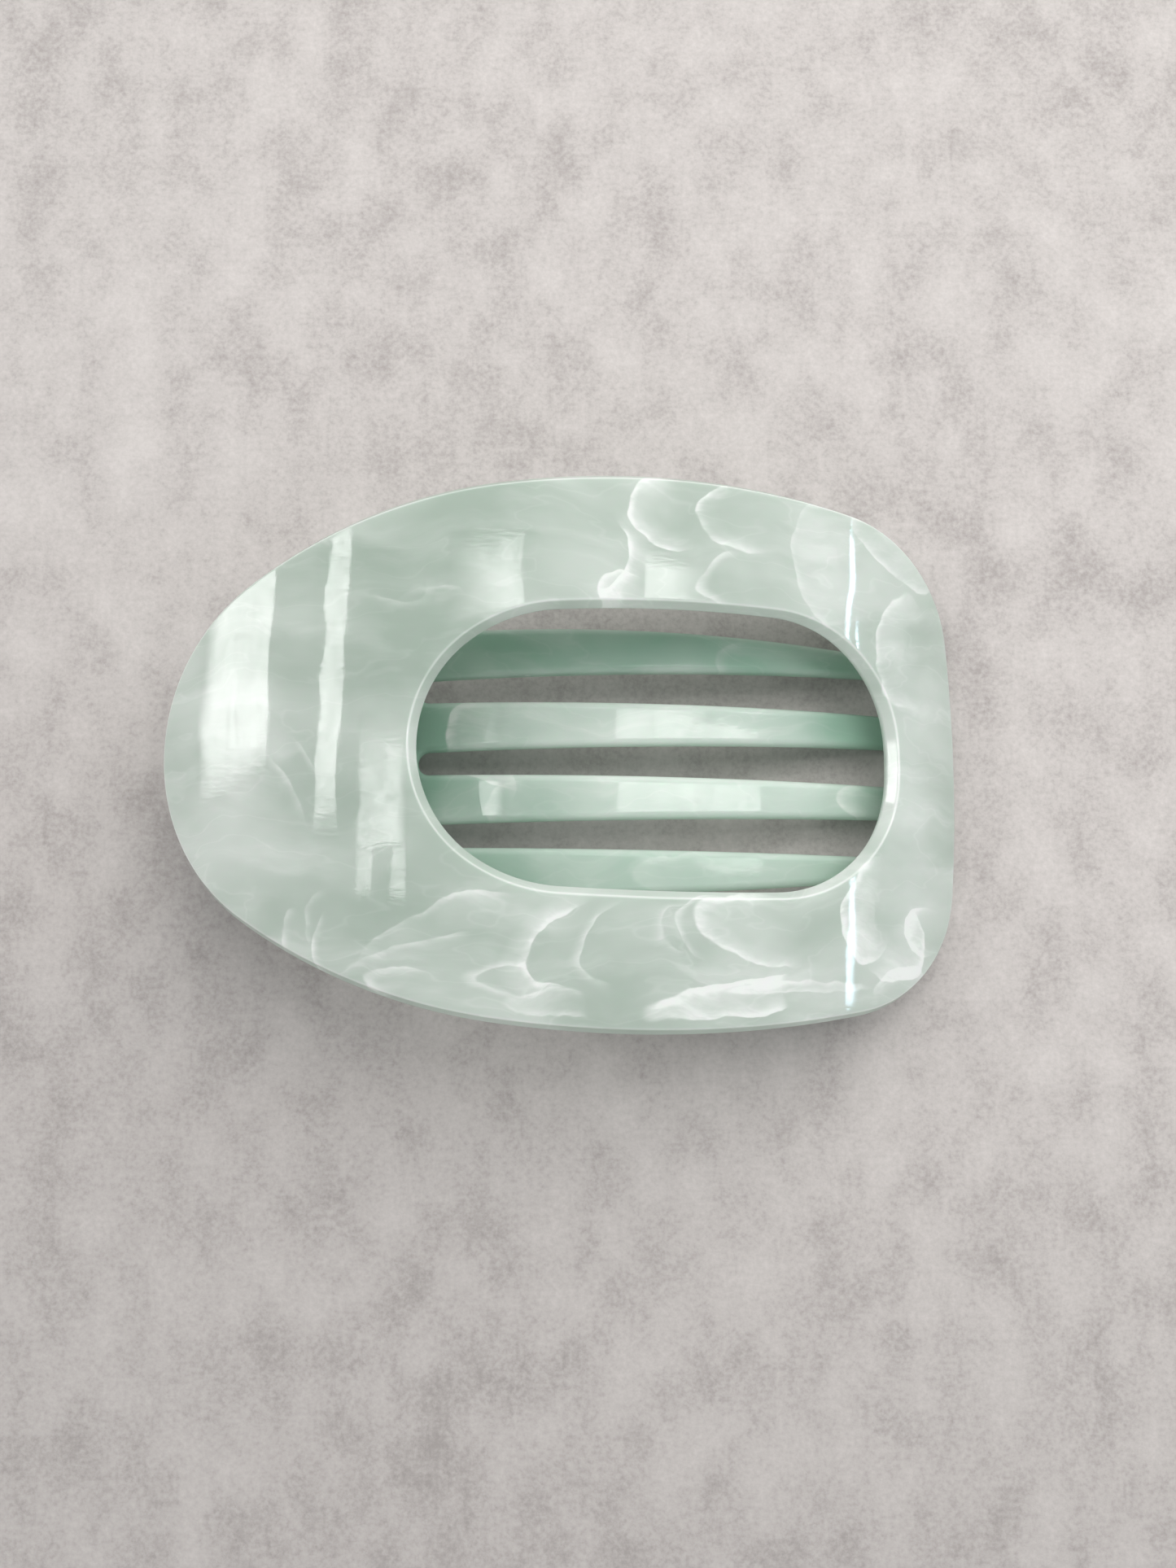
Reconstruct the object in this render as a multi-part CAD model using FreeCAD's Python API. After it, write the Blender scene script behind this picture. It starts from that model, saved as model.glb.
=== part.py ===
"""A lay-flat hair claw: an arched upper jaw with an oval window, a four-tined lower jaw, a pin and a spring.

Millimetres. +X runs from the handles to the tips, +Y across the clip, +Z up from the surface that it lies on.
The origin is under the middle of the clip, on that surface.
"""

import FreeCAD, Part
import math
import os

V = FreeCAD.Vector

# Upper jaw: an arched plate, seen from the side as three tangent arcs, with a slight crown across it
SHELL_THICKNESS = 2.8
CREST_X = -11.5
CREST_Z = 26.01
HANDLE_ARCH_RADIUS = 92.0
JAW_ARCH_RADIUS = 101.0
LIP_RADIUS = 74.6
LIP_START_SLOPE = math.radians(26.8)
CROWN_RADIUS = 390.0

# Plan outlines of the upper jaw and its window: five tangent arcs a side, mirrored about the X axis
SHELL_OUTLINE = {
    "left": -53.9,
    "right": 53.5,
    "nose_radius": 26.4,
    "shoulder_radius": 78.0,
    "side_radius": 163.0,
    "half_width": 36.0,
    "widest_x": 13.0,
    "corner_radius": 17.9,
    "end_radius": 214.0,
}
WINDOW_OUTLINE = {
    "left": -19.6,
    "right": 42.6,
    "nose_radius": 16.9,
    "shoulder_radius": 20.7,
    "side_radius": 340.0,
    "half_width": 18.2,
    "widest_x": 18.5,
    "corner_radius": 16.5,
    "end_radius": 40.4,
}

# Lower jaw: an arched comb that flares out into a lever, whose flat foot rests on the surface
COMB_THICKNESS = 2.4
COMB_CREST_X = 4.0
COMB_CREST_Z = 10.7
COMB_RADIUS = 101.7
FLARE_START_X = -35.0
COMB_OUTLINE = {
    "left": -47.5,
    "right": 46.0,
    "nose_radius": 12.0,
    "shoulder_radius": 40.0,
    "side_radius": 600.0,
    "half_width": 18.4,
    "widest_x": -12.0,
    "corner_radius": 2.0,
    "end_radius": 300.0,
}
TINE_PITCH = 10.0
SLOT_ROOT_X = -21.5
SLOT_ROOT_WIDTH = 3.1
SLOT_MOUTH_WIDTH = 5.4
TINE_TIP_ROUNDING = 1.6

# Hinge: two ears under the shell hold the pin, and the comb's two ears turn on it between them
HINGE_X = -28.0
HINGE_Z = 15.0
PIN_RADIUS = 1.2
PIN_CHAMFER = 0.25
RUNNING_CLEARANCE = 0.05
EAR_RADIUS = 3.2
EAR_ROOT_LENGTH = 12.0
COMB_EARS = (4.6, 6.8)
SHELL_EARS = (7.1, 9.5)

# Torsion spring: close turns round the pin, and two legs that push the handles apart
WIRE_RADIUS = 0.6
COIL_RADIUS = 3.4
COIL_TURNS = 7
COIL_PITCH = 1.15
LEG_END_X = -38.0
LEG_CLEARANCE = 0.15
LEG_SIDESTEP = 0.2

# How far the plates run past their outlines before they are cut to shape, and the cutters' levels
OVERCUT = 6.0
CUTTER_BOTTOM = -6.0
CUTTER_TOP = 36.0
OUTLINE_POINTS = 120


def arc_point(centre, radius, slope):
    """The point of an arch, in XZ, where it has fallen to this slope on its way to +X."""
    return (centre[0] + radius * math.sin(slope), centre[1] + radius * math.cos(slope))


def shell_arcs():
    """The shell's middle line as (centre, radius, first slope, last slope), from the handle to the lip."""
    first_slope = -math.asin((CREST_X - SHELL_OUTLINE["left"] + OVERCUT) / HANDLE_ARCH_RADIUS)
    handle_centre = (CREST_X, CREST_Z - HANDLE_ARCH_RADIUS)
    jaw_centre = (CREST_X, CREST_Z - JAW_ARCH_RADIUS)
    lip_start = arc_point(jaw_centre, JAW_ARCH_RADIUS, LIP_START_SLOPE)
    lip_centre = (
        lip_start[0] - LIP_RADIUS * math.sin(LIP_START_SLOPE),
        lip_start[1] - LIP_RADIUS * math.cos(LIP_START_SLOPE),
    )
    last_slope = math.asin((SHELL_OUTLINE["right"] + OVERCUT - lip_centre[0]) / LIP_RADIUS)
    return [
        (handle_centre, HANDLE_ARCH_RADIUS, first_slope, 0.0),
        (jaw_centre, JAW_ARCH_RADIUS, 0.0, LIP_START_SLOPE),
        (lip_centre, LIP_RADIUS, LIP_START_SLOPE, last_slope),
    ]


def shell_height(x):
    """Height and slope of the shell's middle line."""
    arcs = shell_arcs()
    for centre, radius, first, last in arcs:
        if x <= centre[0] + radius * math.sin(last) or last == arcs[-1][3]:
            slope = math.asin((x - centre[0]) / radius)
            return centre[1] + radius * math.cos(slope), slope


def shell_point_and_normal(x, y):
    """A point of the crowned middle surface and the direction square to it."""
    axis_z = CREST_Z - CROWN_RADIUS
    height, slope = shell_height(x)
    reach = height - axis_z
    drop = math.sqrt(reach * reach - y * y)
    normal = V(reach * math.tan(slope) / drop, y / drop, 1)
    normal.normalize()
    return V(x, y, axis_z + drop), normal


def edge_through(points):
    """An arc through three XZ points."""
    return Part.Arc(*[V(x, 0, z) for x, z in points]).toShape()


def plate_section(arcs, thickness):
    """The face between the two lines that run half a thickness above and below a chain of arcs."""
    edges = []
    ends = []
    for side in (1, -1):
        chain = []
        for centre, radius, first, last in arcs:
            offset_radius = radius + side * thickness / 2
            slopes = (first, (first + last) / 2, last)
            chain.append([arc_point(centre, offset_radius, slope) for slope in slopes])
        edges += [edge_through(points) for points in chain]
        ends.append((chain[0][0], chain[-1][-1]))
    for upper, lower in zip(*ends):
        edges.append(Part.LineSegment(V(upper[0], 0, upper[1]), V(lower[0], 0, lower[1])).toShape())
    return Part.Face(Part.Wire(Part.__sortEdges__(edges)))


def right_meeting_point(centre_a, radius_a, centre_b, radius_b):
    """Where two circles in plan cross, on the side of larger X."""
    span = centre_b - centre_a
    along = (radius_a**2 - radius_b**2 + span.Length**2) / (2 * span.Length)
    across = math.sqrt(radius_a**2 - along**2)
    direction = V(span).normalize()
    side = V(-direction.y, direction.x, 0)
    foot = centre_a + direction * along
    return max(foot + side * across, foot - side * across, key=lambda p: p.x)


def outline_wire(o):
    """A rounded egg of tangent arcs: nose, shoulder, side, corner and end, mirrored about the X axis."""
    nose = V(o["left"] + o["nose_radius"], 0, 0)
    side = V(o["widest_x"], o["half_width"] - o["side_radius"], 0)
    end = V(o["right"] - o["end_radius"], 0, 0)
    shoulder = right_meeting_point(
        nose,
        o["shoulder_radius"] - o["nose_radius"],
        side,
        o["side_radius"] - o["shoulder_radius"],
    )
    corner = right_meeting_point(
        side,
        o["side_radius"] - o["corner_radius"],
        end,
        o["end_radius"] - o["corner_radius"],
    )

    def bearing(start, towards):
        return math.atan2(towards.y - start.y, towards.x - start.x)

    joints = [
        math.pi,
        bearing(shoulder, nose),
        bearing(side, shoulder),
        bearing(side, corner),
        bearing(end, corner),
        0.0,
    ]
    arcs = [
        (nose, o["nose_radius"]),
        (shoulder, o["shoulder_radius"]),
        (side, o["side_radius"]),
        (corner, o["corner_radius"]),
        (end, o["end_radius"]),
    ]
    edges = []
    for (centre, radius), first, last in zip(arcs, joints, joints[1:]):
        angles = (first, (first + last) / 2, last)
        points = [centre + V(math.cos(a), math.sin(a), 0) * radius for a in angles]
        edges.append(Part.Arc(*points).toShape())
        mirrored = [V(p.x, -p.y, 0) for p in points]
        edges.append(Part.Arc(*mirrored).toShape())
    return Part.Wire(Part.__sortEdges__(edges))


def square_cutter(outline):
    """A solid through the outline whose walls stand square to the shell all the way round."""
    wires = []
    for level in (CUTTER_BOTTOM, CUTTER_TOP):
        points = []
        for p in outline.discretize(OUTLINE_POINTS + 1)[:-1]:
            middle, normal = shell_point_and_normal(p.x, p.y)
            points.append(middle + normal * ((level - middle.z) / normal.z))
        curve = Part.BSplineCurve()
        curve.interpolate(points, PeriodicFlag=True)
        wires.append(Part.Wire(curve.toShape()))
    return Part.makeLoft(wires, True, True)


def upper_plate():
    """The arched, crowned sheet, cut to its outline and its window."""
    section = plate_section(shell_arcs(), SHELL_THICKNESS)
    axis_point = V(0, 0, CREST_Z - CROWN_RADIUS)
    half_angle = math.degrees((SHELL_OUTLINE["half_width"] + OVERCUT) / CROWN_RADIUS)
    section.rotate(axis_point, V(1, 0, 0), -half_angle)
    sheet = section.revolve(axis_point, V(1, 0, 0), 2 * half_angle)
    sheet = sheet.common(square_cutter(outline_wire(SHELL_OUTLINE)))
    sheet = sheet.cut(square_cutter(outline_wire(WINDOW_OUTLINE)))
    return sheet.Solids[0]


def comb_arcs():
    """The comb's middle line: the flare from its flat foot, which bends the other way, then the main arch."""
    start_slope = -math.asin((COMB_CREST_X - FLARE_START_X) / COMB_RADIUS)
    end_slope = math.asin((COMB_OUTLINE["right"] + OVERCUT - COMB_CREST_X) / COMB_RADIUS)
    centre = (COMB_CREST_X, COMB_CREST_Z - COMB_RADIUS)
    start = arc_point(centre, COMB_RADIUS, start_slope)
    flare_radius = (start[1] - COMB_THICKNESS / 2) / (1 - math.cos(start_slope))
    flare_centre = (
        start[0] + flare_radius * math.sin(start_slope),
        start[1] + flare_radius * math.cos(start_slope),
    )
    return [
        (flare_centre, -flare_radius, 0.0, start_slope),
        (centre, COMB_RADIUS, start_slope, end_slope),
    ]


def comb_height(x):
    """Height of the comb's middle line on its main arch."""
    return COMB_CREST_Z - COMB_RADIUS + math.sqrt(COMB_RADIUS**2 - (x - COMB_CREST_X) ** 2)


def flare_height(x):
    """Height of the comb's middle line on the flare behind the hinge."""
    centre, radius, _, _ = comb_arcs()[0]
    return centre[1] - math.sqrt(radius**2 - (x - centre[0]) ** 2)


def extruded(face, start, end):
    """A flat face in XZ, carried along Y from start to end."""
    moved = face.copy()
    moved.translate(V(0, start, 0))
    return moved.extrude(V(0, end - start, 0))


def slot_tool(y):
    """What one slot takes out of the comb: a long wedge with a round root."""
    root_half = SLOT_ROOT_WIDTH / 2
    mouth_half = SLOT_MOUTH_WIDTH / 2
    mouth_x = COMB_OUTLINE["right"] + 1
    root_x = SLOT_ROOT_X + root_half
    edges = [
        Part.Arc(V(root_x, y + root_half, 0), V(SLOT_ROOT_X, y, 0), V(root_x, y - root_half, 0)),
        Part.LineSegment(V(root_x, y - root_half, 0), V(mouth_x, y - mouth_half, 0)),
        Part.LineSegment(V(mouth_x, y - mouth_half, 0), V(mouth_x, y + mouth_half, 0)),
        Part.LineSegment(V(mouth_x, y + mouth_half, 0), V(root_x, y + root_half, 0)),
    ]
    face = Part.Face(Part.Wire([edge.toShape() for edge in edges]))
    face.translate(V(0, 0, CUTTER_BOTTOM))
    return face.extrude(V(0, 0, CUTTER_TOP - CUTTER_BOTTOM))


def slot_mouth_edges(comb):
    """The upright corner edges of the tines' free ends."""
    mouth = []
    for edge in comb.Edges:
        upright = isinstance(edge.Curve, Part.Line) and abs(edge.tangentAt(edge.FirstParameter).z) > 0.99
        if upright and edge.BoundBox.XMin > COMB_OUTLINE["right"] - 2:
            mouth.append(edge)
    return mouth


def comb_plate():
    """The lower jaw without its ears: arch, flare and flat foot, cut to outline and slotted."""
    half_width = COMB_OUTLINE["half_width"] + OVERCUT
    arcs = comb_arcs()
    sheet = extruded(plate_section(arcs, COMB_THICKNESS), -half_width, half_width)
    foot_x = arcs[0][0][0]
    foot_length = foot_x - COMB_OUTLINE["left"] + OVERCUT
    foot = Part.makeBox(foot_length, 2 * half_width, COMB_THICKNESS, V(foot_x - foot_length, -half_width, 0))
    plan = Part.Face(outline_wire(COMB_OUTLINE))
    plan.translate(V(0, 0, CUTTER_BOTTOM))
    comb = sheet.fuse(foot).common(plan.extrude(V(0, 0, CUTTER_TOP - CUTTER_BOTTOM)))
    for y in (-TINE_PITCH, 0.0, TINE_PITCH):
        comb = comb.cut(slot_tool(y))
    comb = comb.removeSplitter()
    return comb.makeFillet(TINE_TIP_ROUNDING, slot_mouth_edges(comb))


def tangent_points(point, radius):
    """Where the two lines from an XZ point touch a circle of this radius about the hinge."""
    dx = point[0] - HINGE_X
    dz = point[1] - HINGE_Z
    bearing = math.atan2(dz, dx)
    turn = math.acos(radius / math.hypot(dx, dz))
    angles = (bearing + turn, bearing - turn)
    return [(HINGE_X + radius * math.cos(a), HINGE_Z + radius * math.sin(a)) for a in angles]


def ear_face(height, far_side):
    """An ear in XZ: a base buried in its plate, and a round eye about the pin. far_side is 1 for the top."""
    back = (HINGE_X - EAR_ROOT_LENGTH / 2, height(HINGE_X - EAR_ROOT_LENGTH / 2))
    front = (HINGE_X + EAR_ROOT_LENGTH / 2, height(HINGE_X + EAR_ROOT_LENGTH / 2))
    back_touch = min(tangent_points(back, EAR_RADIUS))
    front_touch = max(tangent_points(front, EAR_RADIUS))
    crown = (HINGE_X, HINGE_Z + far_side * EAR_RADIUS)
    corners = [V(x, 0, z) for x, z in (front_touch, front, back, back_touch)]
    edges = [Part.LineSegment(a, b).toShape() for a, b in zip(corners, corners[1:])]
    edges.append(edge_through([back_touch, crown, front_touch]))
    return Part.Face(Part.Wire(edges))


def pin_hole(radius):
    """What a hole on the hinge axis takes out of the ears."""
    return Part.makeCylinder(radius, 2 * SHELL_EARS[1] + 2, V(HINGE_X, -SHELL_EARS[1] - 1, HINGE_Z), V(0, 1, 0))


def with_ears(plate, height, far_side, span, hole_radius):
    """A plate with its pair of ears and their hole for the pin."""
    face = ear_face(height, far_side)
    inner, outer = span
    ears = [extruded(face, inner, outer), extruded(face, -outer, -inner)]
    return plate.multiFuse(ears).cut(pin_hole(hole_radius)).Solids[0]


def upper_jaw():
    return with_ears(upper_plate(), lambda x: shell_height(x)[0], -1, SHELL_EARS, PIN_RADIUS)


def lower_jaw():
    return with_ears(comb_plate(), comb_height, 1, COMB_EARS, PIN_RADIUS + RUNNING_CLEARANCE)


def hinge_pin():
    length = 2 * SHELL_EARS[1]
    pin = Part.makeCylinder(PIN_RADIUS, length, V(HINGE_X, -length / 2, HINGE_Z), V(0, 1, 0))
    rims = [e for e in pin.Edges if isinstance(e.Curve, Part.Circle)]
    return pin.makeChamfer(PIN_CHAMFER, rims)


def leg(y, side, end_z):
    """A straight spring leg that leaves the coil's top (side 1) or bottom (-1) for a point on a handle."""
    touch = max(tangent_points((LEG_END_X, end_z), COIL_RADIUS), key=lambda p: side * p[1])
    end = V(LEG_END_X, y, end_z)
    along = (end - V(touch[0], y, touch[1])).normalize()
    start = V(touch[0], y, touch[1]) - along * WIRE_RADIUS
    return Part.makeCylinder(WIRE_RADIUS, (end - start).Length, start, along)


def torsion_spring():
    """Close turns as rings that run into each other, and the two legs, which stop just short of the handles."""
    first_y = -(COIL_TURNS - 1) / 2 * COIL_PITCH
    rings = []
    for turn in range(COIL_TURNS):
        centre = V(HINGE_X, first_y + turn * COIL_PITCH, HINGE_Z)
        rings.append(Part.makeTorus(COIL_RADIUS, WIRE_RADIUS, centre, V(0, 1, 0)))
    standoff = WIRE_RADIUS + LEG_CLEARANCE
    shell_middle, shell_slope = shell_height(LEG_END_X)
    under_shell = shell_middle - (SHELL_THICKNESS / 2 + standoff) / math.cos(shell_slope)
    lever_slope = (COMB_CREST_X - LEG_END_X) / COMB_RADIUS
    over_lever = flare_height(LEG_END_X) + (COMB_THICKNESS / 2 + standoff) / math.cos(lever_slope)
    leg_y = -first_y + LEG_SIDESTEP
    legs = [leg(leg_y, 1, under_shell), leg(-leg_y, -1, over_lever)]
    return rings[0].multiFuse(rings[1:] + legs)


NODES = {
    "upper_jaw": upper_jaw,
    "lower_jaw": lower_jaw,
    "hinge_pin": hinge_pin,
    "torsion_spring": torsion_spring,
}

os.makedirs("parts", exist_ok=True)
for name, make in NODES.items():
    shape = make()
    box = shape.optimalBoundingBox()
    low = [round(v, 2) for v in (box.XMin, box.YMin, box.ZMin)]
    high = [round(v, 2) for v in (box.XMax, box.YMax, box.ZMax)]
    print(name, shape.isValid(), len(shape.Solids), round(shape.Volume, 1), low, high)
    shape.exportStep(f"parts/{name}.step")
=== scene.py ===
"""Looks for a lay-flat hair claw in marbled mint plastic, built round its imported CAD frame.

The shapes are worked out in millimetres with the same arcs as the CAD, then scaled to metres.
+X runs from the handles to the tips, +Y across the clip, +Z up from the surface that it lies on.
"""

import bpy
import math
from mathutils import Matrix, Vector
from mathutils.geometry import delaunay_2d_cdt

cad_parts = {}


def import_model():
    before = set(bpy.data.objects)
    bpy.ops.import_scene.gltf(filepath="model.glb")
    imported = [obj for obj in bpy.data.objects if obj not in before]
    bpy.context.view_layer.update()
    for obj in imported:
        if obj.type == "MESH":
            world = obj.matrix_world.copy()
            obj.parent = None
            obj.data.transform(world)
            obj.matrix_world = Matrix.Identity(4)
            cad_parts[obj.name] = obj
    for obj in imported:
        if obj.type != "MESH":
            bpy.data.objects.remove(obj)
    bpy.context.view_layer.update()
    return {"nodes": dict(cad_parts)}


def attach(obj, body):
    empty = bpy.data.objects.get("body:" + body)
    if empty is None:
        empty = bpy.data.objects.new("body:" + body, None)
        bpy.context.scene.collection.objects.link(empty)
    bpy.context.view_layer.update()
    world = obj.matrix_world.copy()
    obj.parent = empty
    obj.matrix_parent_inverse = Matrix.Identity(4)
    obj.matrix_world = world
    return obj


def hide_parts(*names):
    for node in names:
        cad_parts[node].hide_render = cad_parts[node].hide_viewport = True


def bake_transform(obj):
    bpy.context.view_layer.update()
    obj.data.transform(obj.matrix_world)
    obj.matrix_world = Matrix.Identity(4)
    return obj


MM = 0.001

# Upper jaw: three tangent arcs seen from the side, and a slight crown across
SHELL_THICKNESS = 2.8
SHELL_ROUNDING = 0.45
SHELL_EDGE_SLANT = math.radians(58)
CREST_X = -11.5
CREST_Z = 26.01
HANDLE_ARCH_RADIUS = 92.0
JAW_ARCH_RADIUS = 101.0
LIP_RADIUS = 74.6
LIP_START_SLOPE = math.radians(26.8)
CROWN_RADIUS = 390.0
SHELL_OUTLINE = {
    "left": -53.9,
    "right": 53.5,
    "nose_radius": 26.4,
    "shoulder_radius": 78.0,
    "side_radius": 163.0,
    "half_width": 36.0,
    "widest_x": 13.0,
    "corner_radius": 17.9,
    "end_radius": 214.0,
}
WINDOW_OUTLINE = {
    "left": -19.6,
    "right": 42.6,
    "nose_radius": 16.9,
    "shoulder_radius": 20.7,
    "side_radius": 340.0,
    "half_width": 18.2,
    "widest_x": 18.5,
    "corner_radius": 16.5,
    "end_radius": 40.4,
}
# How finely the meshes are cut: along each arc of the outline, across the band, and round a rim
ARC_STEPS = (30, 40, 64, 26, 20)
BAND_STEPS = 36
ROUNDING_STEPS = 5

# Lower jaw: an arched comb with a flared lever and a flat foot
COMB_THICKNESS = 2.4
COMB_ROUNDING = 1.0
COMB_CREST_X = 4.0
COMB_CREST_Z = 10.7
COMB_RADIUS = 101.7
FLARE_START_X = -35.0
COMB_OUTLINE = {
    "left": -47.5,
    "right": 46.0,
    "nose_radius": 12.0,
    "shoulder_radius": 40.0,
    "side_radius": 600.0,
    "half_width": 18.4,
    "widest_x": -12.0,
    "corner_radius": 2.0,
    "end_radius": 300.0,
}
SLOT_CENTRES = (10.0, 0.0, -10.0)
SLOT_ROOT_X = -21.5
SLOT_ROOT_HALF = 1.55
SLOT_MOUTH_HALF = 2.7
TINE_TIP_ROUNDING = 1.6
COMB_SPACING = 1.0

# Hinge and spring
HINGE_X = -28.0
HINGE_Z = 15.0
PIN_RADIUS = 1.2
RUNNING_CLEARANCE = 0.05
EAR_RADIUS = 3.2
EAR_ROOT_HALF = 6.0
EAR_BEVEL = 0.3
COMB_EARS = (4.6, 6.8)
SHELL_EARS = (7.1, 9.5)
WIRE_RADIUS = 0.55
COIL_RADIUS = 3.4
COIL_HALF_LENGTH = 3.65
COIL_WHOLE_TURNS = 6
LEG_END_X = -38.0
LEG_STANDOFF = 0.75

# White swirls: half the width of the sharp edge, and the width of the brighter line along it
SWIRL_EDGE = 0.12
SWIRL_LINE = 0.9

# Light: the lamp's place (m), width and power, and the room's brightness
LAMP_PLACE = (0.30, 0.50, 0.64)
LAMP_SIZE = 1.0
LAMP_POWER = 8.0
ROOM_BRIGHTNESS = 0.56

# Half the floor's width (m)
FLOOR_HALF = 4.0

# Camera: place (mm), tilt and roll (radians), lens and sensor (mm)
CAMERA_PLACE = (1.92, -25.91, 200.7)
CAMERA_TILT = 0.1195
CAMERA_ROLL = -0.0006
CAMERA_LENS = 32.4
SENSOR = 36.0


# ---------------------------------------------------------------- outlines


def right_meeting_point(centre_a, radius_a, centre_b, radius_b):
    """Where two circles in plan cross, on the side of larger X."""
    span = centre_b - centre_a
    along = (radius_a**2 - radius_b**2 + span.length_squared) / (2 * span.length)
    across = math.sqrt(radius_a**2 - along**2)
    direction = span.normalized()
    side = Vector((-direction.y, direction.x))
    foot = centre_a + direction * along
    return max(foot + side * across, foot - side * across, key=lambda p: p.x)


def outline_arcs(o):
    """The far half of an egg outline, from its nose to its end, as (centre, radius, first, last angle)."""
    nose = Vector((o["left"] + o["nose_radius"], 0))
    side = Vector((o["widest_x"], o["half_width"] - o["side_radius"]))
    end = Vector((o["right"] - o["end_radius"], 0))
    shoulder = right_meeting_point(
        nose,
        o["shoulder_radius"] - o["nose_radius"],
        side,
        o["side_radius"] - o["shoulder_radius"],
    )
    corner = right_meeting_point(
        side,
        o["side_radius"] - o["corner_radius"],
        end,
        o["end_radius"] - o["corner_radius"],
    )

    def bearing(start, towards):
        return math.atan2(towards.y - start.y, towards.x - start.x)

    joints = [
        math.pi,
        bearing(shoulder, nose),
        bearing(side, shoulder),
        bearing(side, corner),
        bearing(end, corner),
        0.0,
    ]
    circles = [
        (nose, o["nose_radius"]),
        (shoulder, o["shoulder_radius"]),
        (side, o["side_radius"]),
        (corner, o["corner_radius"]),
        (end, o["end_radius"]),
    ]
    return [(c, r, a, b) for (c, r), a, b in zip(circles, joints, joints[1:])]


def arc_samples(centre, radius, first, last, steps, facing=1):
    """Points on an arc with the direction that faces out of the plastic there, without the last point."""
    samples = []
    for i in range(steps):
        angle = first + (last - first) * i / steps
        out = Vector((math.cos(angle), math.sin(angle)))
        samples.append((centre + out * radius, out * facing))
    return samples


def line_samples(start, end, spacing):
    """Points on a straight edge that has the plastic on its right, without the last point."""
    along = (end - start).normalized()
    out = Vector((-along.y, along.x))
    steps = max(1, round((end - start).length / spacing))
    return [(start.lerp(end, i / steps), out) for i in range(steps)]


def mirrored(samples):
    """The near half of a loop whose far half is given, in running order."""
    return [(Vector((p.x, -p.y)), Vector((n.x, -n.y))) for p, n in reversed(samples)]


def egg_loop(o, facing):
    """The whole outline, clockwise from its nose."""
    far = []
    arcs = outline_arcs(o)
    for (centre, radius, first, last), steps in zip(arcs, ARC_STEPS):
        far += arc_samples(centre, radius, first, last, steps, facing)
    tip = (Vector((o["right"], 0)), Vector((facing, 0)))
    return far + [tip] + mirrored(far[1:])


def comb_loop():
    """The comb's outline with its slots, clockwise from its nose."""
    arcs = outline_arcs(COMB_OUTLINE)
    far = []
    for centre, radius, first, last in arcs[:-1]:
        steps = max(5, round(radius * abs(last - first) / COMB_SPACING))
        far += arc_samples(centre, radius, first, last, steps)
    end_centre, end_radius, end_first, _ = arcs[-1]
    spread = (SLOT_MOUTH_HALF - SLOT_ROOT_HALF) / (COMB_OUTLINE["right"] + 1 - SLOT_ROOT_X - SLOT_ROOT_HALF)
    root_x = SLOT_ROOT_X + SLOT_ROOT_HALF

    def wall_y(x, away=0.0):
        return SLOT_ROOT_HALF + spread * (x - root_x) + away * math.sqrt(1 + spread**2)

    loop = list(far)
    angle = end_first
    for y in SLOT_CENTRES:
        for side in (1, -1):
            x = COMB_OUTLINE["right"] - TINE_TIP_ROUNDING
            for _ in range(3):
                centre_y = y + side * wall_y(x, TINE_TIP_ROUNDING)
                x = end_centre.x + math.sqrt((end_radius - TINE_TIP_ROUNDING) ** 2 - centre_y**2)
            centre = Vector((x, centre_y))
            tip_angle = math.atan2(centre_y, x - end_centre.x)
            wall_angle = -side * (math.pi / 2 - math.atan(spread))
            touch = centre + Vector((math.cos(wall_angle), math.sin(wall_angle))) * TINE_TIP_ROUNDING
            root = Vector((root_x, y + side * SLOT_ROOT_HALF))
            if side == 1:
                loop += arc_samples(end_centre, end_radius, angle, tip_angle, 5)
                loop += arc_samples(centre, TINE_TIP_ROUNDING, tip_angle, wall_angle, 6)
                loop += line_samples(touch, root, COMB_SPACING)
                slot_centre = Vector((root_x, y))
                loop += arc_samples(slot_centre, SLOT_ROOT_HALF, math.pi / 2, 3 * math.pi / 2, 14, -1)
            else:
                loop += line_samples(root, touch, COMB_SPACING)
                loop += arc_samples(centre, TINE_TIP_ROUNDING, wall_angle, tip_angle, 6)
                angle = tip_angle
    loop += arc_samples(end_centre, end_radius, angle, -end_first, 5)
    loop += arc_samples(end_centre, end_radius, -end_first, 0.0, 1)
    return loop + mirrored(far[1:])


# ---------------------------------------------------------------- surfaces


def shell_height(x):
    """Height and slope of the shell's middle line."""
    slope_x = CREST_X + JAW_ARCH_RADIUS * math.sin(LIP_START_SLOPE)
    if x <= CREST_X:
        centre_x, centre_z, radius = CREST_X, CREST_Z - HANDLE_ARCH_RADIUS, HANDLE_ARCH_RADIUS
    elif x <= slope_x:
        centre_x, centre_z, radius = CREST_X, CREST_Z - JAW_ARCH_RADIUS, JAW_ARCH_RADIUS
    else:
        gap = JAW_ARCH_RADIUS - LIP_RADIUS
        centre_x = CREST_X + gap * math.sin(LIP_START_SLOPE)
        centre_z = CREST_Z - JAW_ARCH_RADIUS + gap * math.cos(LIP_START_SLOPE)
        radius = LIP_RADIUS
    slope = math.asin((x - centre_x) / radius)
    return centre_z + radius * math.cos(slope), slope


def shell_surface(x, y):
    """A point of the shell's crowned middle surface, the direction square to it, and the step up through it.

    The step is how far a millimetre of thickness goes: here straight through, since its walls stand square.
    """
    axis_z = CREST_Z - CROWN_RADIUS
    height, slope = shell_height(x)
    reach = height - axis_z
    drop = math.sqrt(reach * reach - y * y)
    normal = Vector((reach * math.tan(slope) / drop, y / drop, 1)).normalized()
    return Vector((x, y, axis_z + drop)), normal, normal


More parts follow.
